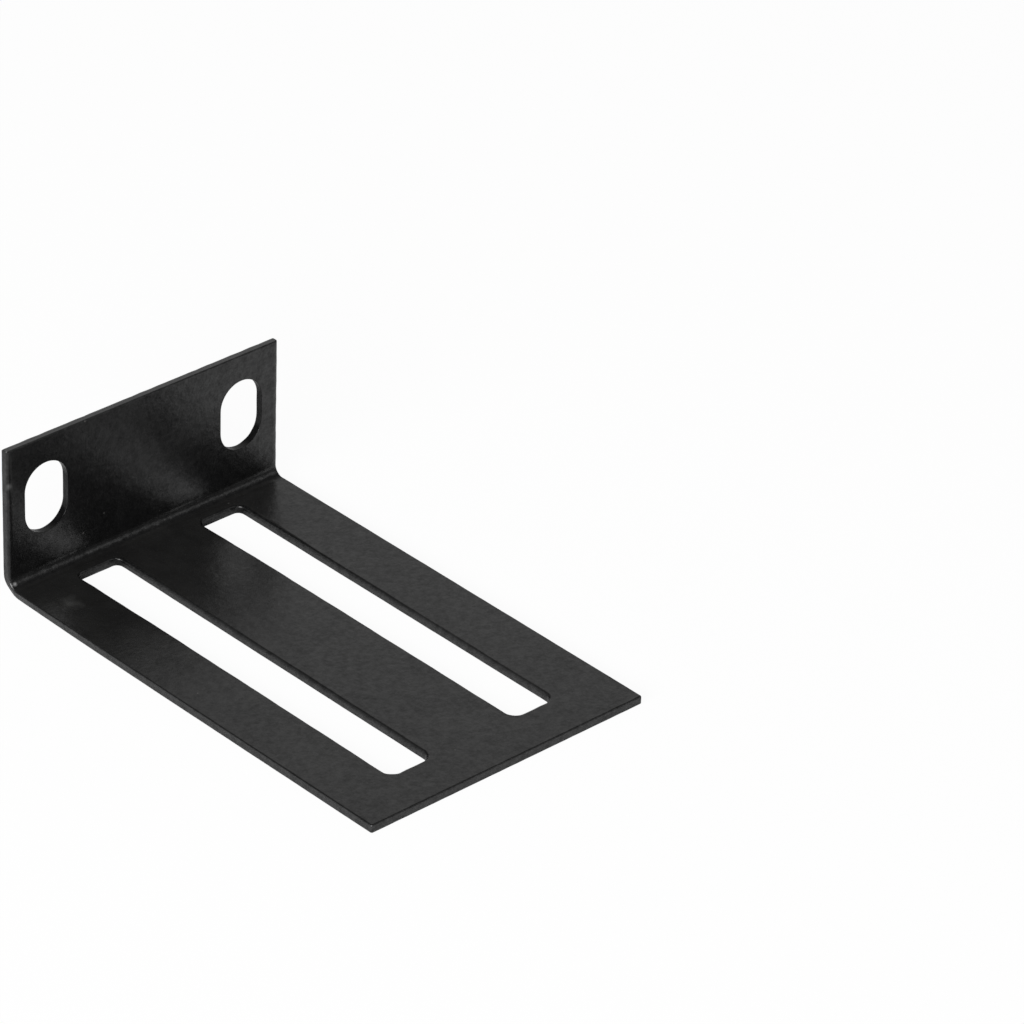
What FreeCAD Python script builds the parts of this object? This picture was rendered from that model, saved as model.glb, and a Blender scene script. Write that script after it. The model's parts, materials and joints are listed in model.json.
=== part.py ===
import FreeCAD, Part
import math
import os

from FreeCAD import Vector

# Rack mount ear bracket: one blank of sheet steel with four slots punched in it, folded once.
# X runs across the bracket, along the fold. The leg lies flat and runs from the fold towards -Y,
# the flange stands up at the +Y end, and Z is up. The origin is on the leg's underside, in the
# middle of the bracket's width and length. The bracket is the same on both sides of x = 0.

# Driving dimensions of the folded sheet, in millimetres
leg_length = 70.0               # from the flange's outer face to the leg's free end
flange_height = 21.0            # from the leg's underside to the flange's top edge
sheet_thickness = 1.2           # the steel with its coat
inner_bend_radius = 1.4         # in the fold's hollow side
rolled_edge_radius = 0.3        # where the punch entered: the edges on the fold's hollow side
outer_edge_bevel = 0.12         # where it came out: the edges on the other side of the sheet

# Driving dimensions of the two upright slots in the flange, for the rack's screws
rack_slot_spacing = 31.75       # between their centres, the pitch of the outer holes in one rack unit
rack_slot_from_side = 6.125     # from the bracket's side edge to the nearer slot's centre
rack_slot_from_top = 8.75       # from the flange's top edge down to their centres
rack_slot_width = 6.8           # also the diameter of their full-round ends
rack_slot_length = 10.0         # upwards, from end to end

# Driving dimensions of the two long slots in the leg, for the screws into the device
leg_slot_spacing = 20.0         # between their centre lines
leg_slot_from_flange = 4.0      # from the flange's outer face to their near ends
leg_slot_from_free_end = 6.5    # from the leg's free end to their far ends
leg_slot_width = 6.5
leg_slot_corner_radius = 1.5    # in their four corners

# How far a punch passes the sheet on each side, which leaves no mark on the bracket
punch_overrun = 1.0

# The two sides of a sharp edge turn by more than this, in degrees, and a smooth seam by less
sharp_turn = 1.0

# A rolled edge or a bevel takes at most this share of the sheet, so that a flat stays between them
largest_edge_share = 0.45

# Two places in the sheet's thickness count as one when they are closer than this
skin_tolerance = 0.001

# Sizes and places that follow from the dimensions
width = rack_slot_spacing + 2 * rack_slot_from_side
leg_slot_length = leg_length - leg_slot_from_flange - leg_slot_from_free_end
outer_bend_radius = inner_bend_radius + sheet_thickness
flange_outer_y = leg_length / 2
flange_inner_y = flange_outer_y - sheet_thickness
free_end_y = flange_outer_y - leg_length
bend_centre = Vector(0, flange_outer_y - outer_bend_radius, outer_bend_radius)
rack_slot_z = flange_height - rack_slot_from_top
leg_slot_y = flange_outer_y - leg_slot_from_flange - leg_slot_length / 2


def line(start, end):
    return Part.LineSegment(start, end).toShape()


def arc(centre, radius, first_angle, last_angle, right, up):
    """A circular arc about centre, its angles in degrees from the direction right towards up."""
    ends_and_middle = []
    for angle in (first_angle, (first_angle + last_angle) / 2, last_angle):
        turn = math.radians(angle)
        ends_and_middle.append(centre + right * radius * math.cos(turn) + up * radius * math.sin(turn))
    return Part.Arc(*ends_and_middle).toShape()


def folded_sheet():
    """The blank after its fold: the L section with its two bend arcs, carried across the width."""
    away = Vector(0, 1, 0)
    up = Vector(0, 0, 1)
    outer_arc = arc(bend_centre, outer_bend_radius, -90, 0, away, up)
    inner_arc = arc(bend_centre, inner_bend_radius, 0, -90, away, up)
    underside_end = Vector(0, free_end_y, 0)
    top_side_end = Vector(0, free_end_y, sheet_thickness)
    outer_top = Vector(0, flange_outer_y, flange_height)
    inner_top = Vector(0, flange_inner_y, flange_height)
    section = Part.Wire([
        line(underside_end, outer_arc.firstVertex().Point),
        outer_arc,
        line(outer_arc.lastVertex().Point, outer_top),
        line(outer_top, inner_top),
        line(inner_top, inner_arc.firstVertex().Point),
        inner_arc,
        line(inner_arc.lastVertex().Point, top_side_end),
        line(top_side_end, underside_end),
    ])
    sheet = Part.Face(section).extrude(Vector(width, 0, 0))
    sheet.translate(Vector(-width / 2, 0, 0))
    return sheet


def full_round_outline(slot_width, slot_length):
    """A slot about the origin, its length along Y and each end a half circle."""
    across = Vector(1, 0, 0)
    along = Vector(0, 1, 0)
    radius = slot_width / 2
    end_centre = along * (slot_length / 2 - radius)
    top = arc(end_centre, radius, 0, 180, across, along)
    bottom = arc(-end_centre, radius, 180, 360, across, along)
    return Part.Wire([
        top,
        line(top.lastVertex().Point, bottom.firstVertex().Point),
        bottom,
        line(bottom.lastVertex().Point, top.firstVertex().Point),
    ])


def round_cornered_outline(slot_width, slot_length, corner_radius):
    """A slot about the origin, its length along Y, its ends straight and its corners rounded."""
    across = Vector(1, 0, 0)
    along = Vector(0, 1, 0)
    half_flat_width = slot_width / 2 - corner_radius
    half_flat_length = slot_length / 2 - corner_radius
    corners = []
    for number, (side, end) in enumerate([(1, 1), (-1, 1), (-1, -1), (1, -1)]):
        corner_centre = across * side * half_flat_width + along * end * half_flat_length
        start_angle = 90 * number
        corners.append(arc(corner_centre, corner_radius, start_angle, start_angle + 90, across, along))
    outline = []
    for corner, next_corner in zip(corners, corners[1:] + corners[:1]):
        outline.append(corner)
        outline.append(line(corner.lastVertex().Point, next_corner.firstVertex().Point))
    return Part.Wire(outline)


def punch(outline):
    """The prism that a punch of this outline sweeps through the flat sheet, from its lower face up."""
    tool = Part.Face(outline).extrude(Vector(0, 0, sheet_thickness + 2 * punch_overrun))
    tool.translate(Vector(0, 0, -punch_overrun))
    return tool


def rack_slots():
    """The two upright slots, turned up into the flange."""
    punches = []
    for side in (-1, 1):
        tool = punch(full_round_outline(rack_slot_width, rack_slot_length))
        tool.rotate(Vector(0, 0, 0), Vector(1, 0, 0), 90)
        tool.translate(Vector(side * rack_slot_spacing / 2, flange_outer_y, rack_slot_z))
        punches.append(tool)
    return punches


def leg_slots():
    """The two long slots, side by side in the leg."""
    punches = []
    for side in (-1, 1):
        outline = round_cornered_outline(leg_slot_width, leg_slot_length, leg_slot_corner_radius)
        tool = punch(outline)
        tool.translate(Vector(side * leg_slot_spacing / 2, leg_slot_y, 0))
        punches.append(tool)
    return punches


def outward(face, point):
    """The face's outward normal at a point on it."""
    u, v = face.Surface.parameter(point)
    return face.normalAt(u, v)


def middle_of(edge):
    return edge.valueAt((edge.FirstParameter + edge.LastParameter) / 2)


def sharp_edges(sheet):
    """The edges where two faces meet at an angle, which leaves out the smooth seams of bend and corners."""
    found = []
    for edge in sheet.Edges:
        normals = [outward(face, middle_of(edge)) for face in sheet.ancestorsOfType(edge, Part.Face)]
        if math.degrees(normals[0].getAngle(normals[-1])) > sharp_turn:
            found.append(edge)
    return found


def on_outer_skin(edge):
    """Whether an edge lies on the sheet's outer skin: under the leg, round the bend or up the flange."""
    point = middle_of(edge)
    from_bend = point - bend_centre
    if from_bend.y < 0:
        depth = point.z
    elif from_bend.z > 0:
        depth = flange_outer_y - point.y
    else:
        depth = outer_bend_radius - math.hypot(from_bend.y, from_bend.z)
    return depth < skin_tolerance


def with_rolled_edges(sheet):
    """The sheet with its corners and all its edges on the hollow side rounded to one radius."""
    radius = min(rolled_edge_radius, largest_edge_share * sheet_thickness)
    return sheet.makeFillet(radius, [edge for edge in sharp_edges(sheet) if not on_outer_skin(edge)])


def with_bevelled_edges(sheet):
    """The sheet with the edges of its outer skin bevelled."""
    bevel = min(outer_edge_bevel, largest_edge_share * sheet_thickness)
    return sheet.makeChamfer(bevel, [edge for edge in sharp_edges(sheet) if on_outer_skin(edge)])


def ear_bracket():
    """The folded and slotted sheet, with its edges as punching and coating leave them."""
    slotted_sheet = folded_sheet().cut(rack_slots() + leg_slots())
    return with_bevelled_edges(with_rolled_edges(slotted_sheet))


bracket = ear_bracket()
os.makedirs("parts", exist_ok=True)
bracket.exportStep("parts/ear_bracket.step")
box = bracket.optimalBoundingBox(False, False)
print(f"ear_bracket: valid {bracket.isValid()}, {len(bracket.Faces)} faces,",
      f"{box.XLength:.2f} x {box.YLength:.2f} x {box.ZLength:.2f} mm, {bracket.Volume:.1f} mm3")
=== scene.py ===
# %% [markdown]
# # A slotted ear bracket for a rack
#
# The object is a small steel angle. Its short flange is screwed to a rack's rail, and its long leg is
# screwed to the side of a device. It is one piece of sheet: punched flat, folded once, and coated black.
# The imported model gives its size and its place, and every number here that can come from it does.

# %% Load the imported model
import json
import math

import bmesh
import bpy
import numpy as np
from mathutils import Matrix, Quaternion, Vector


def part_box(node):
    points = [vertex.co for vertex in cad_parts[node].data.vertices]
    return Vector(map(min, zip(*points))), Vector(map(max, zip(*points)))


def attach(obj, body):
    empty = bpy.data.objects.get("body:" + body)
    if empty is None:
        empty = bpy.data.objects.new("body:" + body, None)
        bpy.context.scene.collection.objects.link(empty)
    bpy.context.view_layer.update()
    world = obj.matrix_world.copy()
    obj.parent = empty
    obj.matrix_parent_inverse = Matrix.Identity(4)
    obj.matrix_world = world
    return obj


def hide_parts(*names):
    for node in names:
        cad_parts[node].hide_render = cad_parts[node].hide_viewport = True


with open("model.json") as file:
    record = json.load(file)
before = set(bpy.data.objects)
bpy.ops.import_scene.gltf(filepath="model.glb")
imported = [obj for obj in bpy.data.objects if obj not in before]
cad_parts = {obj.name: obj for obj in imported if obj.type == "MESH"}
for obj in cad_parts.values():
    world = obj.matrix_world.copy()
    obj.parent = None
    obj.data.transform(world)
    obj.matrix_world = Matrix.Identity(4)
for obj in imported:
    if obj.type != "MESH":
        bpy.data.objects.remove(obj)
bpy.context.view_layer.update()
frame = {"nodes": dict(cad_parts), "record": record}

print("nodes:", sorted(frame["nodes"]))

# %% [markdown]
# ## The sizes
#
# The node's box gives the width, the leg's length and the flange's height. The record's mounts give the
# places of the slots, and the flange's inner face, which leaves the sheet's thickness. Only what no
# mount states is written here: the bend's radius, the slots' corners and the rounding of the edges.

# %% Sizes of the sheet, in metres
mm = 0.001
lowest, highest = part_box("ear_bracket")
mounts = {mount["name"]: mount for mount in frame["record"]["mounts"]}

half_width = highest.x
free_end_y = lowest.y
flange_outer_y = highest.y
flange_top_z = highest.z
flange_inner_y = mounts["rail_face"]["pos_m"][1]
thickness = flange_outer_y - flange_inner_y
inner_bend_radius = 1.4 * mm

bend_y = flange_inner_y - inner_bend_radius
bend_z = thickness + inner_bend_radius
leg_run = bend_y - free_end_y
bend_run = (inner_bend_radius + thickness / 2) * math.pi / 2
bend_end = leg_run + bend_run
blank_length = bend_end + flange_top_z - bend_z
print(f"sheet {thickness / mm:.2f} mm, blank {2 * half_width / mm:.1f} x {blank_length / mm:.1f} mm")

# %% Sizes of the slots, in metres
leg_slot = mounts["leg_slot_right"]
leg_slot_centre = np.array([leg_slot["pos_m"][0], leg_slot["pos_m"][1] - free_end_y])
leg_slot_half_width = leg_slot["dims"]["hole_r_mm"] * mm
leg_slot_half_length = leg_slot["dims"]["slot_length_mm"] / 2 * mm
leg_slot_corner = 1.5 * mm

rack_slot = mounts["rack_slot_right"]
rack_slot_centre = np.array([rack_slot["pos_m"][0], bend_end + rack_slot["pos_m"][2] - bend_z])
rack_slot_half_width = rack_slot["dims"]["hole_r_mm"] * mm
rack_slot_half_length = rack_slot["dims"]["slot_length_mm"] / 2 * mm
rack_slot_corner = rack_slot_half_width
print("slot centres on the blank, mm:", leg_slot_centre / mm, rack_slot_centre / mm)

# %% [markdown]
# ## The fold as a formula
#
# A press brake folds a flat blank, so the mesh is made flat too and then folded by one formula. A point
# of the blank has three numbers: how far it is across, how far along from the free end, and how deep it
# is under the side that will face into the angle. Modelling in the flat keeps the slots simple outlines,
# and the fold bends them with the sheet, as the brake does.
#
# Bent steel keeps its volume. On the outside of the bend the fibres stretch, so near the two side edges
# they draw in a little, and the outline of the angle's corner shows it. The draw-in fades slowly along
# the leg and quickly up the flange.

# %% From the blank to the folded sheet
draw_in = 0.36 * mm          # of the outer fibres at the side edges, where it is deepest
draw_in_place = 0.35         # as a share of the bend's run, so nearer to the leg than to the flange
draw_in_reach = 2.0 * mm     # how fast it fades across the sheet
leg_spread = 12.0 * mm       # and along it, towards the leg
flange_spread = 1.3 * mm     # and towards the flange


def fold(across, along, depth):
    """Carries points of the flat blank to the folded sheet.

    On the leg, along is y and depth goes down. Round the bend, along becomes the angle and depth adds
    to the inner radius. On the flange, along is z and depth goes away from the leg. The draw-in moves
    a point towards the middle by its depth, times one exponential across the sheet and another along
    the leg. Up the flange it fades by a bell curve.
    """
    turn = np.clip((along - leg_run) / bend_run, 0, 1) * math.pi / 2
    on_leg = np.minimum(along, leg_run)
    on_flange = np.maximum(along - bend_end, 0)
    radius = inner_bend_radius + depth
    y = free_end_y + on_leg + radius * np.sin(turn)
    z = bend_z - radius * np.cos(turn) + on_flange
    from_deepest = along - leg_run - draw_in_place * bend_run
    fade_along = np.where(
        from_deepest < 0, -from_deepest / leg_spread, (from_deepest / flange_spread) ** 2)
    fade_across = (half_width - np.abs(across)) / draw_in_reach
    pull = draw_in * np.exp(-fade_along - fade_across) * depth / thickness
    return np.stack([across - np.sign(across) * pull, y, z], axis=-1)


def fold_normals(points, normals):
    """Carries the blank's normals through the fold, by the inverse transpose of the fold's slopes.

    The slopes are the changes of the folded point over a small step each way along the three axes.
    """
    step = 0.001 * mm
    slopes = []
    for axis in np.eye(3):
        ahead = fold(*np.moveaxis(points + step * axis, -1, 0))
        behind = fold(*np.moveaxis(points - step * axis, -1, 0))
        slopes.append((ahead - behind) / (2 * step))
    inverse = np.linalg.inv(np.stack(slopes, axis=-1))
    carried = np.einsum("...ji,...j->...i", inverse, normals)
    return carried / np.linalg.norm(carried, axis=-1, keepdims=True)


side_of_bend = fold(half_width, leg_run + bend_run / 2, thickness)
print("outer fibre at the side, in the middle of the bend, mm:", np.round(side_of_bend / mm, 2))

# %% [markdown]
# ## Outlines on the blank
#
# Each half of the leg and of the flange is a rectangle with one slot in it. A grid fills it as a ring:
# one parameter runs round the slot, the other runs from the slot out to the rectangle's sides. Where
# the slot's outline is straight the grid lines leave it squarely, and from its corners they fan out.
# Neighbouring rectangles share the samples on their common side, so that the grids can be welded.
#
# The flat grids stop short of every edge by a margin. The rounded edge itself comes in a later step.

# %% Samples and outlines
edge_margin = 1.00 * mm      # from the wall of an edge to the flat grid beside it
arc_steps = 6                # in an eighth of a turn
end_steps = 4                # along the straight end of a long slot
side_steps = 30              # along its straight side
short_side_steps = 6         # along the straight side of a rack slot
bend_steps = 14              # round the bend


def stretches(*stops_and_steps):
    """Values evenly spaced between stops. The arguments are a stop, a number of steps, a stop and so on."""
    stops, steps = stops_and_steps[0::2], stops_and_steps[1::2]
    runs = [np.linspace(a, b, n, endpoint=False) for a, b, n in zip(stops, stops[1:], steps)]
    return np.concatenate([*runs, stops[-1:]])


def slot_outline(centre, half_size, corner_radius, steps):
    """A slot's outline, grown by the margin, and its direction away from the slot, once round.

    The direction turns evenly round the corner arcs and rests on the straight sides. A point is the
    centre of its corner's arc plus the grown radius in that direction. On a straight side, the arc's
    centre slides from one corner to the next.
    """
    corners = np.array([(1, -1), (1, 1), (-1, 1), (-1, -1)]) * (np.array(half_size) - corner_radius)
    angles, arc_centres = [], []
    for quarter in range(4):
        arc, straight = steps[quarter % 2]
        middle = quarter * math.pi / 2
        before, after = middle - math.pi / 4, middle + math.pi / 4
        angles.append(stretches(before, arc, middle, straight, middle, arc, after)[:-1])
        slide = np.concatenate([np.zeros(arc), np.linspace(0, 1, straight, endpoint=False), np.ones(arc)])
        to_next = corners[(quarter + 1) % 4] - corners[quarter]
        arc_centres.append(corners[quarter] + np.outer(slide, to_next))
    angle = np.concatenate([*angles, angles[0][:1] + 2 * math.pi])
    arc_centre = np.concatenate([*arc_centres, arc_centres[0][:1]])
    direction = np.stack([np.cos(angle), np.sin(angle)], axis=-1)
    return centre + arc_centre + (corner_radius + edge_margin) * direction, direction


def rectangle(across, along):
    """The outline of a rectangle through the given samples, from its lower right corner anticlockwise."""
    right = [(across[-1], s) for s in along[:-1]]
    top = [(x, along[-1]) for x in across[:0:-1]]
    left = [(across[0], s) for s in along[:0:-1]]
    bottom = [(x, along[0]) for x in across]
    return np.array(right + top + left + bottom)


# %% The outlines of this bracket
grid_side = half_width - edge_margin
leg_straight = np.array([leg_slot_half_width, leg_slot_half_length]) - leg_slot_corner
rack_straight = rack_slot_half_length - rack_slot_corner

across_samples = stretches(
    0.0, arc_steps, leg_slot_centre[0] - leg_straight[0],
    end_steps, leg_slot_centre[0] + leg_straight[0], arc_steps, grid_side)
leg_samples = stretches(
    edge_margin, arc_steps, leg_slot_centre[1] - leg_straight[1],
    side_steps, leg_slot_centre[1] + leg_straight[1], arc_steps, leg_run)
bend_samples = np.linspace(leg_run, bend_end, bend_steps + 1)
flange_samples = stretches(
    bend_end, arc_steps, rack_slot_centre[1] - rack_straight,
    short_side_steps, rack_slot_centre[1] + rack_straight, arc_steps, blank_length - edge_margin)

leg_slot_path = slot_outline(
    leg_slot_centre, (leg_slot_half_width, leg_slot_half_length), leg_slot_corner,
    [(arc_steps, side_steps), (arc_steps, end_steps)])
rack_slot_path = slot_outline(
    rack_slot_centre, (rack_slot_half_width, rack_slot_half_length), rack_slot_corner,
    [(arc_steps, short_side_steps), (arc_steps + end_steps // 2, 0)])
print("points round a long slot:", len(leg_slot_path[0]), "and round a rack slot:", len(rack_slot_path[0]))

# %% [markdown]
# ## The edges
#
# A punch pulls the sheet's skin down where it enters, so the long slots' edges are rolled over on that
# side, and on the other side the steel breaks off sharp and only the coat rounds it. The rolls along
# them grow wider and deeper towards the bend. They end so near to it that it has pulled their ends open,
# wider at the top, and has drawn their two corners tighter there. The rack slots were punched from the
# other side, and the flange's top was sheared from there: their rolls are on the outer skin.
#
# One section does for all, a profile carried along a path, with sizes that change along the path.

# %% The section of an edge, carried along an outline
roll_wander = 0.12           # how much a roll's width varies, as a share of it
roll_steps = 8
outer_roll_steps = 6


def wander(across, along):
    """A slow unevenness from -1 to 1: the product of two sines that have no common period."""
    first = np.sin(2.1 * across / mm + 1.3 * along / mm)
    second = np.sin(0.9 * along / mm - 0.37 * across / mm + 1.0)
    return first * second


def edge_section(inner_width, inner_depth, outer_radius, taper):
    """The section from one side of the sheet round to the other: how far out, how deep, and its normal.

    A quarter of an ellipse leads into the wall, and a quarter circle of the outer radius leads out of
    it. The ellipse's normal leans by each cosine or sine over the other half axis. A taper draws the
    wall back at the top. The first and the last point lie on the flat grids.
    """
    roll = np.linspace(0, math.pi / 2, roll_steps + 1)
    under = np.linspace(0, math.pi / 2, outer_roll_steps + 1)
    wide, deep = inner_width[:, None], inner_depth[:, None]
    round_out, drawn_back = outer_radius[:, None], taper[:, None]
    flat = np.zeros_like(wide)
    out = np.concatenate([
        flat, edge_margin - drawn_back - wide * (1 - np.sin(roll)),
        edge_margin - round_out * (1 - np.cos(under)), flat], axis=1)
    depth = np.concatenate([
        flat, deep * (1 - np.cos(roll)),
        thickness - round_out * (1 - np.sin(under)), flat + thickness], axis=1)
    normal_out = np.concatenate([flat, deep * np.sin(roll), np.cos(under) + flat, flat], axis=1)
    normal_deep = np.concatenate([flat - 1, -wide * np.cos(roll), np.sin(under) + flat, flat + 1], axis=1)
    normal_deep[:, roll_steps + 1] -= normal_out[:, roll_steps + 1] * taper / thickness
    normal_deep[:, roll_steps + 2] -= taper / thickness
    length = np.hypot(normal_out, normal_deep)
    return out, depth, normal_out / length, normal_deep / length


def edge_strip(path, away, reach, inner_width, inner_depth, outer_radius, taper):
    """The section carried along a path of the blank.

    At each point of the path, away is the wall's normal, and reach is the way from the path to the wall
    over the margin. They differ only in the corners of the blank.
    """
    uneven = 1 + roll_wander * wander(path[:, 0], path[:, 1])
    out, depth, normal_out, normal_deep = edge_section(
        uneven * inner_width, uneven * inner_depth, uneven * outer_radius, taper)
    flat_points = path[:, None, :] + reach[:, None, :] * out[..., None]
    flat_normals = away[:, None, :] * normal_out[..., None]
    points = np.concatenate([flat_points, depth[..., None]], axis=-1)
    normals = np.concatenate([flat_normals, normal_deep[..., None]], axis=-1)
    return points, normals


def face_grid(flat_points, depth):
    """A flat grid at one depth, with its normal out of the sheet."""
    shape = flat_points.shape[:-1] + (1,)
    deep = np.full(shape, 1.0 if depth > 0 else -1.0)
    points = np.concatenate([flat_points, np.full(shape, depth)], axis=-1)
    normals = np.concatenate([np.zeros_like(flat_points), deep], axis=-1)
    return points, normals


# %% [markdown]
# ## One mesh from the patches
#
# The right half is made of four kinds of patch: two rings and the bend's grid, each on both sides of the
# sheet, the rim, and the two slots' walls. The left half is the same with its across numbers changed in
# sign and its faces wound the other way, so that they still point outwards. Welding closes the seams.
#
# The vertices keep the exact normals of the formula. Without them, the shading would bulge where a wide
# flat face meets a narrow rounded one.

# %% The patches of one half
blank_corner = 0.25 * mm     # radius of the blank's corners
ring_rows = 4
ring_crowding = 1.3          # the power that draws the rows together beside the slot
ring_spread = np.linspace(0, 1, ring_rows + 1) ** ring_crowding


def ring(slot_path, across, along):
    """Straight lines from the slot's outline to the rectangle's, point by point, in rows."""
    inner, outer = slot_path[0][:, None, :], rectangle(across, along)[:, None, :]
    return inner + (outer - inner) * ring_spread[:, None]


def corner_fan(place, first_angle):
    """The way round one corner of the blank: its place over and over, the wall's normal, and the reach.

    The corner of the wall is a small arc. The grid's corner is farther in than the arc's centre, so
    the reach is the sum of the way to that centre and the arc's radius, both over the margin.
    """
    angle = first_angle + np.linspace(0, math.pi / 2, 2 * arc_steps + 1)
    away = np.stack([np.cos(angle), np.sin(angle)], axis=-1)
    to_centre = (away[0] + away[-1]) * (edge_margin - blank_corner)
    return np.tile(place, (len(angle), 1)), away, (to_centre + blank_corner * away) / edge_margin


def straight_run(places, direction):
    """A straight stretch of the rim: its places, the wall's normal, and the reach, which is the same."""
    away = np.tile(direction, (len(places), 1))
    return places, away, away


def rim_path():
    """The outline of the right half just inside its edges, from the free end round to the flange's top."""
    up_the_side = np.concatenate([leg_samples[:-1], bend_samples[:-1], flange_samples])
    low, high = up_the_side[0], up_the_side[-1]
    free_end = np.stack([across_samples, np.full_like(across_samples, low)], axis=-1)
    side = np.stack([np.full_like(up_the_side, grid_side), up_the_side], axis=-1)
    top = np.stack([across_samples[::-1], np.full_like(across_samples, high)], axis=-1)
    down, right, up = np.array([[0.0, -1.0], [1.0, 0.0], [0.0, 1.0]])
    runs = [
        straight_run(free_end, down),
        corner_fan([grid_side, low], -math.pi / 2),
        straight_run(side, right),
        corner_fan([grid_side, high], 0.0),
        straight_run(top, up)]
    return [np.concatenate(parts) for parts in zip(*runs)]


leg_ring = ring(leg_slot_path, across_samples, leg_samples)
rack_ring = ring(rack_slot_path, across_samples, flange_samples)
bend_grid = np.stack(np.meshgrid(across_samples, bend_samples), axis=-1)

half = []


def lay(patch, turned=False, wear_and_painted_shade=0.0):
    """Adds a patch to the half: its points and normals, its winding, and its wear.

    The wear is 1 on walls where the coat is thin and rough, and -1 where the sheen is lowered as painted
    shade.
    """
    half.append((*patch, turned, wear_and_painted_shade))


for grid in (leg_ring, rack_ring, bend_grid):
    lay(face_grid(grid, 0.0))
    lay(face_grid(grid, thickness), turned=True)

# %% The rim: rolled most at the flange's sides, and at its top from behind
sharp_break = 0.18 * mm      # where the steel breaks off and only the coat rounds it
leg_side_roll = 0.22 * mm
flange_side_roll = 0.80 * mm
end_roll = 0.20 * mm
top_roll = 0.50 * mm
deepest_rim_roll = 0.35 * mm

rim, rim_away, rim_reach = rim_path()
at_side = np.clip(rim_away[:, 0], 0, 1)
at_top = np.clip(rim_away[:, 1], 0, 1)
side_roll = np.interp(rim[:, 1], [leg_run, bend_end], [leg_side_roll, flange_side_roll])
rim_width = end_roll + (side_roll - end_roll) * at_side
rim_depth = np.minimum(rim_width, deepest_rim_roll)
rim_radius = sharp_break + (top_roll - sharp_break) * at_top
lay(edge_strip(rim, rim_away, rim_reach, rim_width, rim_depth, rim_radius, 0 * at_top), wear_and_painted_shade=1.0)
print(f"points along the rim of one half: {len(rim)}, rolled {rim_width.min() / mm:.2f} to",
      f"{rim_width.max() / mm:.2f} mm wide")

# %% The long slots: rolled on top, and at the end beside the bend tight in the corners and pulled open
slot_roll = 0.40 * mm
side_depth = 0.60 * mm       # of the roll along the sides
end_depth = 0.35 * mm        # and at both ends
drawn_roll = 0.80 * mm       # along the sides, close to the bend
drawn_depth = 0.68 * mm
drawn_reach = 16.0 * mm      # how far along them the bend is felt
pulled_roll = 0.60 * mm      # at the end beside the bend
pulled_open = 0.20 * mm
pulled_reach = 5.0 * mm      # how far from the end the pull is felt
tight_corner = 0.8 * mm      # radius of the two corners beside the bend
painted_shade_in_corners = 3.0              # how strongly the sheen is lowered in those two corners, as painted shade
barely = 0.01                # less than this of a direction is only rounding


def tighter(direction, corner_radius, tight_radius):
    """How far the wall is from the centre of a corner's arc in each direction, and the wall's normal.

    The arc has given way to a tighter one in the same corner. A ray from the centre meets either the
    straight wall, or the tight arc, where its length solves the quadratic of a ray and a circle.
    """
    size = np.abs(direction)
    shift = corner_radius - tight_radius
    along_ray = shift * size.sum(axis=-1)
    on_arc = along_ray + np.sqrt(along_ray ** 2 - 2 * shift ** 2 + tight_radius ** 2)
    on_wall = corner_radius / size.max(axis=-1)
    straight = on_wall * size.min(axis=-1) <= shift
    length = np.where(straight, on_wall, on_arc)
    arc_normal = (length[:, None] * size - shift) / tight_radius
    wall_normal = (size == size.max(axis=-1, keepdims=True)).astype(float)
    return length, np.where(straight[:, None], wall_normal, arc_normal) * np.sign(direction)


path, away = leg_slot_path
length, tight_normal = tighter(away, leg_slot_corner, tight_corner)
at_bend = (away[:, 1] > barely)[:, None]
to_wall = (leg_slot_corner + edge_margin - length[:, None]) / edge_margin
reach = np.where(at_bend, to_wall, 1.0) * away
wall_normal = np.where(at_bend, tight_normal, away)

from_end = path[:, 1].max() - path[:, 1]
near_end = np.clip(1 - from_end / pulled_reach, 0, 1)
pull = near_end ** 2
drawn = np.clip(1 - from_end / drawn_reach, 0, 1)
sideways, lengthways = away[:, 0] ** 2, away[:, 1] ** 2
roll_width = (slot_roll + (drawn_roll - slot_roll) * drawn * sideways
              + (pulled_roll - slot_roll) * pull * lengthways)
roll_depth = end_depth + (side_depth - end_depth + (drawn_depth - side_depth) * drawn) * sideways
break_radius = np.full(len(path), sharp_break)
# 1 on the thin coat of the walls, falling to -1 in the two corners beside the bend, where the sheen is
# lowered as painted shade
wear_and_painted_shade = np.clip(1 - painted_shade_in_corners * near_end * np.abs(away[:, 0]), -1, 1)[:, None]
lay(edge_strip(path, -wall_normal, -reach, roll_width, roll_depth, break_radius, pulled_open * pull),
    turned=True, wear_and_painted_shade=wear_and_painted_shade)
print(f"long slots rolled {roll_width.min() / mm:.2f} to {roll_width.max() / mm:.2f} mm wide")

# %% The rack slots: fine in front, rolled behind, and their sheen lowered as painted shade
fine_edge = 0.04 * mm
roll_behind = 0.30 * mm

path, away = rack_slot_path
even = np.ones(len(path))
fine = fine_edge * even
# a wear of -1 lowers the sheen of these walls, as painted shade
lay(edge_strip(path, -away, -away, fine, fine, roll_behind * even, 0 * even), turned=True, wear_and_painted_shade=-1.0)
print("patches in one half:", len(half))


# %% Fold the patches, on the right and on the left
def quads(rows, columns, turned):
    """The corners of each cell of a grid, as indices. Turned cells run the other way round."""
    index = np.arange(rows * columns).reshape(rows, columns)
    corners = [index[:-1, :-1], index[:-1, 1:], index[1:, 1:], index[1:, :-1]]
    return np.stack(corners[::-1] if turned else corners, axis=-1).reshape(-1, 4)


vertices, normals, faces, cut_edge, bent = [], [], [], [], []
for side in (1, -1):
    mirror = np.array([side, 1, 1])
    for blank_points, blank_normals, turned, wear_and_painted_shade in half:
        faces.append(quads(*blank_points.shape[:2], turned != (side < 0)) + sum(map(len, vertices)))
        vertices.append(fold(*np.moveaxis(blank_points * mirror, -1, 0)).reshape(-1, 3))
        normals.append(fold_normals(blank_points * mirror, blank_normals * mirror).reshape(-1, 3))
        cut_edge.append((wear_and_painted_shade * np.linalg.norm(blank_normals[..., :2], axis=-1)).ravel())
        place_in_bend = np.clip((blank_points[..., 1] - leg_run) / bend_run, 0, 1)
        bent.append(np.sin(math.pi * place_in_bend).ravel())

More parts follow.
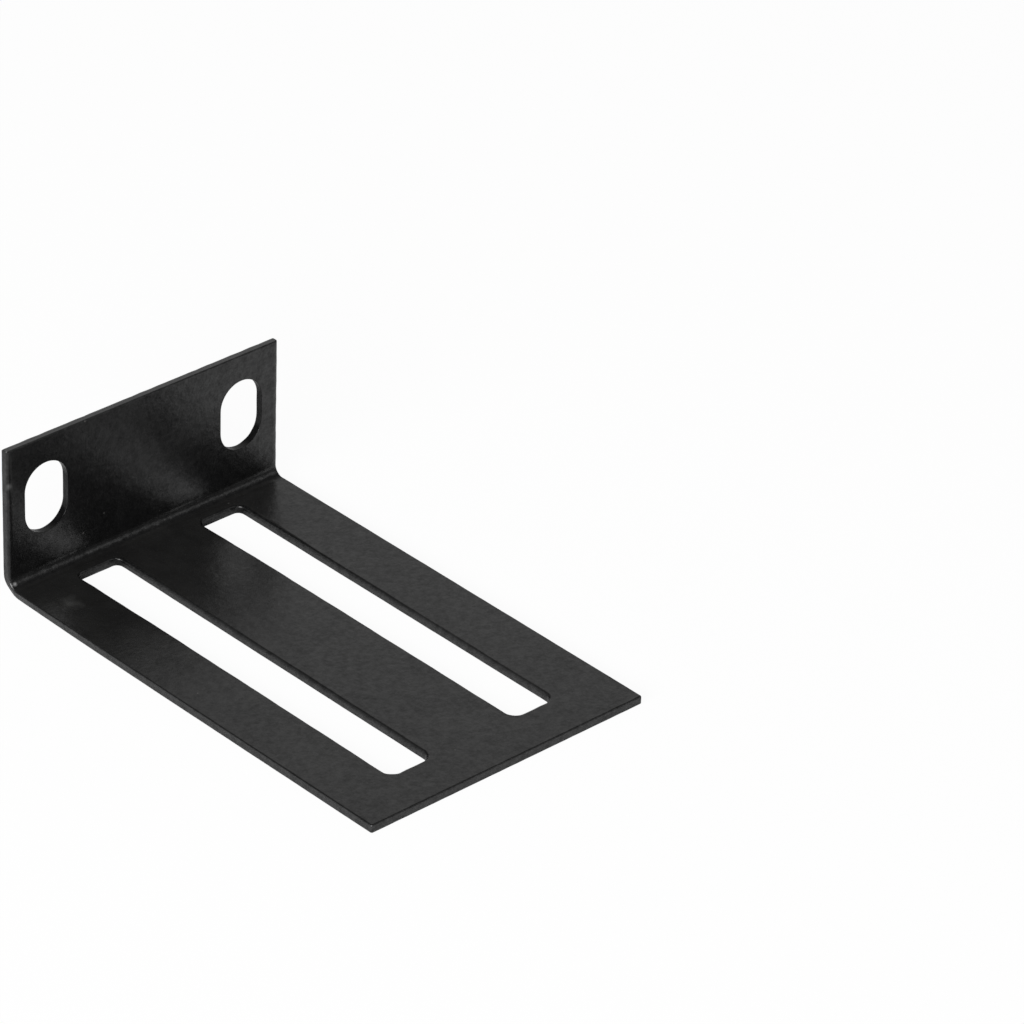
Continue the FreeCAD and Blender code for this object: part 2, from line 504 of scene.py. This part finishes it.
mesh = bpy.data.meshes.new("folded_ear")
mesh.from_pydata(np.concatenate(vertices), [], np.concatenate(faces))
kept_normal = mesh.attributes.new("exact_normal", "FLOAT_VECTOR", "POINT")
kept_normal.data.foreach_set("vector", np.concatenate(normals).ravel())
for name, share in (("cut_edge", cut_edge), ("bent", bent)):
    mesh.attributes.new(name, "FLOAT", "POINT").data.foreach_set("value", np.concatenate(share))

# %% Weld the seams, check the mesh and give it its exact normals
weld = 0.001 * mm
shell = bmesh.new()
shell.from_mesh(mesh)
bmesh.ops.remove_doubles(shell, verts=shell.verts, dist=weld)
open_edges = [edge for edge in shell.edges if len(edge.link_faces) != 2]
area = sum(face.calc_area() for face in shell.faces)
print(f"faces {len(shell.faces)}, open edges {len(open_edges)},",
      f"volume {shell.calc_volume(signed=True) / mm ** 3:.1f} mm3, area {area / mm ** 2:.1f} mm2")
shell.to_mesh(mesh)
shell.free()

exact = np.empty(3 * len(mesh.vertices))
mesh.attributes["exact_normal"].data.foreach_get("vector", exact)
mesh.attributes.remove(mesh.attributes["exact_normal"])
mesh.shade_smooth()
mesh.normals_split_custom_set_from_vertices(exact.reshape(-1, 3))

bracket = bpy.data.objects.new("folded_ear", mesh)
bpy.context.scene.collection.objects.link(bracket)
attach(bracket, "root")
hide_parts("ear_bracket")

# %% [markdown]
# ## The coat
#
# The steel is powder coated in satin black. The powder melts into a film whose surface is never quite
# flat: it keeps a fine unevenness, called orange peel, which breaks up every reflection into grain. The
# coat itself is almost pure black, so nearly all that is seen of it is what it mirrors.
#
# More shows on the real bracket. Dust lies on what faces up, and hands and packing leave soft smears.
# On cut edges the coat is thin and rough, so they look lighter than the flats. The flange's top, which
# faces up, is lighter still by painted light from above. In the rack slots and in the two tight corners
# of the long slots the sheen is lowered as painted shade, so they look darker.

# %% The film and its material
coat = bpy.data.materials.new("satin_black_powder_coat")
coat.use_nodes = True
nodes, links = coat.node_tree.nodes, coat.node_tree.links
film = nodes["Principled BSDF"]
film.inputs["IOR"].default_value = 1.5
mesh.materials.append(coat)
print("material:", coat.name)


# %% Patterns: a noise in the object's coordinates, and a band cut out of it
def add(kind, **settings):
    """A node of the coat's tree, with its properties set."""
    node = nodes.new("ShaderNode" + kind)
    for name, value in settings.items():
        setattr(node, name, value)
    return node


where = add("TexCoord")


def noise(size, detail=2.0, roughness=0.5, stretch=(1, 1, 1)):
    """A noise in the object's own coordinates, its features about as large as size, in metres."""
    place = add("Mapping")
    place.inputs["Scale"].default_value = stretch
    texture = add("TexNoise")
    texture.inputs["Scale"].default_value = 1 / size
    texture.inputs["Detail"].default_value = detail
    texture.inputs["Roughness"].default_value = roughness
    links.new(where.outputs["Object"], place.inputs["Vector"])
    links.new(place.outputs["Vector"], texture.inputs["Vector"])
    return texture.outputs["Fac"]


def band(value, low, high, floor=0.0, ceiling=1.0):
    """Maps low to the floor and high to the ceiling, smoothly, and holds the value there outside them."""
    node = add("MapRange", interpolation_type="SMOOTHSTEP")
    for socket, number in zip(("From Min", "From Max", "To Min", "To Max"), (low, high, floor, ceiling)):
        node.inputs[socket].default_value = number
    links.new(value, node.inputs["Value"])
    return node.outputs["Result"]


# %% Mixing: a product, a sum and a layer of colour
def times(first, second):
    """The product of an output with another output or with a number."""
    node = add("Math", operation="MULTIPLY")
    links.new(first, node.inputs[0])
    if isinstance(second, float):
        node.inputs[1].default_value = second
    else:
        links.new(second, node.inputs[1])
    return node.outputs["Value"]


def plus(mask, amount, base):
    """Adds a mask, times an amount, to a base that is a number or an output."""
    node = add("Math", operation="MULTIPLY_ADD")
    links.new(mask, node.inputs[0])
    node.inputs[1].default_value = amount
    if isinstance(base, float):
        node.inputs[2].default_value = base
    else:
        links.new(base, node.inputs[2])
    return node.outputs["Value"]


def blend(under, over, amount):
    """A colour laid over another as thickly as the amount says. The lower one is an output or a colour."""
    node = add("Mix", data_type="RGBA")
    if isinstance(under, tuple):
        node.inputs["A"].default_value = under
    else:
        links.new(under, node.inputs["A"])
    node.inputs["B"].default_value = over
    links.new(amount, node.inputs["Factor"])
    return node.outputs["Result"]


# %% [markdown]
# ### Orange peel
#
# Two noises make the relief: a fine grain, and a slower swell under it. Both are much smaller than a
# slot, and only hundredths of a millimetre high. The film mirrors, so even that little is seen. Bending
# has wrinkled the skin a little, so both are higher there, and the bright line of the fold looks beaded.

# %% Relief of the film
grain_size = 0.45 * mm
grain_height = 0.020 * mm
swell_size = 1.1 * mm
swell_height = 0.030 * mm
bent_share = 1.0             # how much higher both are in the middle of the bend, over the flats

bend = add("Attribute", attribute_name="bent")
stronger = plus(bend.outputs["Fac"], bent_share, 1.0)


def relief(height_map, distance, under=None):
    """A bump of the given height, higher in the bend, over another bump if there is one under it."""
    bump = add("Bump")
    bump.inputs["Distance"].default_value = distance
    links.new(times(height_map, stronger), bump.inputs["Height"])
    if under:
        links.new(under, bump.inputs["Normal"])
    return bump.outputs["Normal"]


swell = relief(noise(swell_size, detail=1.0), swell_height)
links.new(relief(noise(grain_size, detail=2.0), grain_height, swell), film.inputs["Normal"])
print(f"orange peel: {grain_height / mm:.3f} mm of grain on {swell_height / mm:.3f} mm of swell")

# %% [markdown]
# ### Dust, smears and the cut edges
#
# Dust lies where the surface faces up, a little unevenly, and not on the rolled edges: its mask is the
# upward part of the normal. Specks are the few cells of a Voronoi pattern whose random number is high,
# drawn as small dots. The cut edges are found by an attribute of the mesh, how far the normal leaned
# out on the flat blank. It is positive where the coat is thin, and negative where the sheen is lowered
# as painted shade. Where a cut edge faces up, on the flange's top, painted light from above makes it
# lighter. The places of three spots that the photo shows are written out: a rub, a light spot on the
# flange's edge and a painted glint at the end of the fold.

# %% Masks of the dust, the specks and the smears
dust_patch = 7 * mm
steepest_dusty = 0.85        # the upward part of the normal where the dust begins
speck_spacing = 3.2 * mm
smear_size = 16 * mm

facing = add("NewGeometry")
upward = add("SeparateXYZ")
links.new(facing.outputs["Normal"], upward.inputs["Vector"])
patches = band(noise(dust_patch, detail=6.0, roughness=0.6), 0.3, 0.7, 0.5, 1.0)
dust = times(band(upward.outputs["Z"], steepest_dusty, 1.0), patches)

cells = add("TexVoronoi", feature="F1")
cells.inputs["Scale"].default_value = 1 / speck_spacing
links.new(where.outputs["Object"], cells.inputs["Vector"])
chosen = add("SeparateColor")
links.new(cells.outputs["Color"], chosen.inputs["Color"])
dot = band(cells.outputs["Distance"], 0.02, 0.05, 1.0, 0.0)
specks = times(dot, band(chosen.outputs["Red"], 0.6, 0.9))

smear = band(noise(smear_size, detail=4.0, roughness=0.55, stretch=(1.6, 0.7, 1.0)), 0.52, 0.72)
print("nodes up to the smears:", len(nodes))

# %% Masks of the cut edges, where the coat is thin, and of painted light on those that face up
thin_patch = 0.9 * mm
wall_lean = 0.6              # how far out the normal leans where the thin coat begins

cut = add("Attribute", attribute_name="cut_edge")
thin = band(cut.outputs["Fac"], wall_lean, 1.0)
uneven_thin = times(thin, band(noise(thin_patch, detail=4.0), 0.3, 0.7, 0.4, 1.0))
# cut edges that face up, the flange's top: a thin coat with painted light from above over it
thin_top_and_painted_light = times(band(cut.outputs["Fac"], 0.8, 1.0), band(upward.outputs["Z"], 0.5, 1.0))

# %% Colour of the coat, from the film up
film_black = (0.0012, 0.0012, 0.0013, 1)
dust_grey = (0.09, 0.088, 0.085, 1)
smear_grey = (0.05, 0.05, 0.05, 1)
speck_grey = (0.16, 0.155, 0.15, 1)
thin_black = (0.004, 0.004, 0.0042, 1)
# the lighter grey of the flange's top is partly painted light from above
sheared_grey_and_painted_light = (0.05, 0.05, 0.05, 1)
dust_amount = 0.13
smear_amount = 0.06
speck_amount = 0.35

dusty = blend(film_black, dust_grey, times(dust, dust_amount))
smeared = blend(dusty, smear_grey, times(smear, smear_amount))
speckled = blend(smeared, speck_grey, times(specks, speck_amount))
edged = blend(speckled, thin_black, uneven_thin)
topped = blend(edged, sheared_grey_and_painted_light, thin_top_and_painted_light)

# %% Three soft spots about their places on the bracket: a rub, a light spot and a painted glint
marks_and_painted_glint = [
    ("a rub beside a long slot", (-18.4, 26.2, 1.2), 2.0, (0.038, 0.038, 0.037, 1)),
    # a lighter grey spot on the flange's left edge
    ("a knock on the flange's edge", (-21.7, 33.8, 15.85), 0.65, (0.065, 0.065, 0.065, 1)),
    # the third paints a glint: a light grey spot where the fold's rounded end would catch a lamp
    ("bare steel at the end of the fold", (-21.35, 33.45, 1.7), 0.38, (0.25, 0.25, 0.25, 1))]
wander_share = 0.6           # of a mark's reach, by how much its outline wanders
outline = band(noise(2.0 * mm, detail=2.0), 0.2, 0.8, -0.5, 0.5)
faint = band(noise(1.2 * mm, detail=4.0, roughness=0.7), 0.3, 0.7, 0.6, 1.0)

marked_and_glinted = topped
for mark_or_glint, place, reach, colour in marks_and_painted_glint:
    gap = add("VectorMath", operation="DISTANCE")
    links.new(where.outputs["Object"], gap.inputs[0])
    gap.inputs[1].default_value = [number * mm for number in place]
    uneven_gap = plus(outline, wander_share * reach * mm, gap.outputs["Value"])
    spot = band(uneven_gap, 0.0, reach * mm, 1.0, 0.0)
    marked_and_glinted = blend(marked_and_glinted, colour, times(spot, faint))
    print(f"{mark_or_glint}: {reach} mm")
links.new(marked_and_glinted, film.inputs["Base Color"])

# %% [markdown]
# ### Sheen and roughness
#
# The film doesn't mirror equally well all over. Its sheen changes from spot to spot, which gives the
# reflections a grain, and it is lowered in the rack slots and the two tight corners of the long slots, as
# painted shade. Smears blur the reflections a little, and the thin coat of the cut edges blurs them more.

# %% Sheen and roughness of the coat
film_roughness = 0.29
smear_roughness = 0.06       # added to it in the smears
thin_roughness = 0.15        # and on the cut edges
sheen_patch = 0.9 * mm
painted_shade_sheen_share = 0.35            # of the sheen, kept where it is lowered as painted shade

sheen = band(noise(sheen_patch, detail=4.0, roughness=0.8), 0.25, 0.75, 0.30, 0.70)
# the sheen falls to that share where the cut_edge attribute is -1, as painted shade
sheen_under_painted_shade = band(cut.outputs["Fac"], -1.0, 0.0, painted_shade_sheen_share, 1.0)
links.new(times(sheen, sheen_under_painted_shade), film.inputs["Specular IOR Level"])

smeared_roughness = plus(smear, smear_roughness, film_roughness)
links.new(plus(thin, thin_roughness, smeared_roughness), film.inputs["Roughness"])
print("nodes in the coat:", len(nodes))

# %% [markdown]
# ## The studio
#
# The bracket lies on white paper, so the lower half of what its surfaces mirror is paper, and the upper
# half is softboxes. A black part is lit by what it mirrors, so each softbox has one task. The back one
# and the strip below it lie where the leg mirrors them. The front one is low and draws the thin bright
# line along the fold. The left one is dim, and the rolled edges that face left mirror it. The key lights
# the paper from low on the left, and the last one is so small that only rounded corners catch it, as
# glints.

# %% A look for the camera alone
def add_camera_look(tree, plain, special, share, output):
    """Gives the camera's own rays a share of a special look, and every other ray the plain one."""
    path_of_light = tree.nodes.new("ShaderNodeLightPath")
    part = tree.nodes.new("ShaderNodeMath")
    part.operation = "MULTIPLY"
    part.inputs[1].default_value = share
    look = tree.nodes.new("ShaderNodeMixShader")
    tree.links.new(path_of_light.outputs["Is Camera Ray"], part.inputs[0])
    tree.links.new(part.outputs["Value"], look.inputs["Fac"])
    tree.links.new(plain, look.inputs[1])
    tree.links.new(special, look.inputs[2])
    tree.links.new(look.outputs["Shader"], output)


# %% The paper
floor_size = 3.0
paper_white = 0.9
glow_share = 0.95            # of the paper's look in the camera, so that it is white with a faint shadow
floor_mesh = bpy.data.meshes.new("floor")
corners = np.array([(-1, -1, 0), (1, -1, 0), (1, 1, 0), (-1, 1, 0)]) * floor_size / 2
floor_mesh.from_pydata(corners, [], [(0, 1, 2, 3)])
floor = bpy.data.objects.new("floor", floor_mesh)
bpy.context.scene.collection.objects.link(floor)

paper = bpy.data.materials.new("white_paper")
paper.use_nodes = True
tree = paper.node_tree
matt = tree.nodes["Principled BSDF"]
matt.inputs["Base Color"].default_value = (paper_white, paper_white, paper_white, 1)
matt.inputs["Roughness"].default_value = 0.9
matt.inputs["Specular IOR Level"].default_value = 0.0
glow = tree.nodes.new("ShaderNodeEmission")
add_camera_look(
    tree, matt.outputs["BSDF"], glow.outputs["Emission"], glow_share,
    tree.nodes["Material Output"].inputs["Surface"])
floor_mesh.materials.append(paper)
print(f"paper {floor_size} m wide, on which the bracket lies")

# %% The dim room, white where the camera sees it
room_grey = 0.15
world = bpy.data.worlds.new("studio")
bpy.context.scene.world = world
world.use_nodes = True
tree = world.node_tree
room = tree.nodes["Background"]
room.inputs["Color"].default_value = (room_grey, room_grey, room_grey, 1)
white = tree.nodes.new("ShaderNodeBackground")
white.inputs["Color"].default_value = (1, 1, 1, 1)
add_camera_look(
    tree, room.outputs["Background"], white.outputs["Background"], 1.0,
    tree.nodes["World Output"].inputs["Surface"])
print(f"room lit at {room_grey} of white")


# %% The softboxes
def softbox(name, direction, distance, width, height, radiance):
    """A rectangular lamp that faces the bracket from the given direction.

    Its radiance is how bright it looks in a mirror, and its power is that times pi times its area.
    """
    lamp = bpy.data.lights.new(name, "AREA")
    lamp.shape = "RECTANGLE"
    lamp.size, lamp.size_y = width, height
    lamp.energy = radiance * math.pi * width * height
    away = Vector(direction).normalized()
    holder = bpy.data.objects.new(name, lamp)
    holder.location = away * distance
    holder.rotation_euler = away.to_track_quat("Z", "Y").to_euler()
    holder.visible_camera = False
    bpy.context.scene.collection.objects.link(holder)
    print(f"{name}: {width} x {height} m, {lamp.energy:.1f} W")


# names, directions, distances in metres, widths and heights in metres, radiances
softbox("back_softbox", (0.587, 0.622, 0.500), 1.0, 0.7, 0.5, 0.42)
softbox("horizon_strip", (0.587, 0.800, 0.100), 1.0, 1.2, 0.18, 0.6)
softbox("front_softbox", (0.587, -0.600, 0.545), 1.0, 0.9, 0.20, 1.1)
softbox("left_softbox", (-0.517, 0.622, 0.586), 1.0, 0.6, 0.5, 0.15)
softbox("key_softbox", (-0.88, -0.30, 0.34), 1.1, 0.90, 0.35, 22.0)
softbox("glint_softbox", (-0.25, -0.65, 0.70), 1.0, 0.08, 0.08, 80.0)

# %% [markdown]
# ## The camera
#
# A long lens looks down at the bracket from the left, along the leg to the flange. The angles are the
# ones at which the bracket's edges and slots fall on their places in the photo.

# %% The camera
azimuth = math.radians(-43.364)
elevation = math.radians(31.210)
roll = math.radians(1.922)
distance = 0.7786            # in metres, from the point it aims at
aim = Vector((0.04027, 0.00863, 0.0))
focal_length = 212.7         # in millimetres, as is the sensor's width
sensor_width = 36
back = Vector((
    math.sin(azimuth) * math.cos(elevation),
    -math.cos(azimuth) * math.cos(elevation),
    math.sin(elevation)))
lens = bpy.data.cameras.new("camera")
lens.lens = focal_length
lens.sensor_width = sensor_width
camera = bpy.data.objects.new("camera", lens)
camera.location = aim + back * distance
camera.rotation_mode = "QUATERNION"
camera.rotation_quaternion = (-back).to_track_quat("-Z", "Y") @ Quaternion((0, 0, 1), roll)
bpy.context.scene.collection.objects.link(camera)
bpy.context.scene.camera = camera
bpy.context.scene.view_settings.view_transform = "Standard"
print("camera at, m:", [round(number, 3) for number in camera.location])
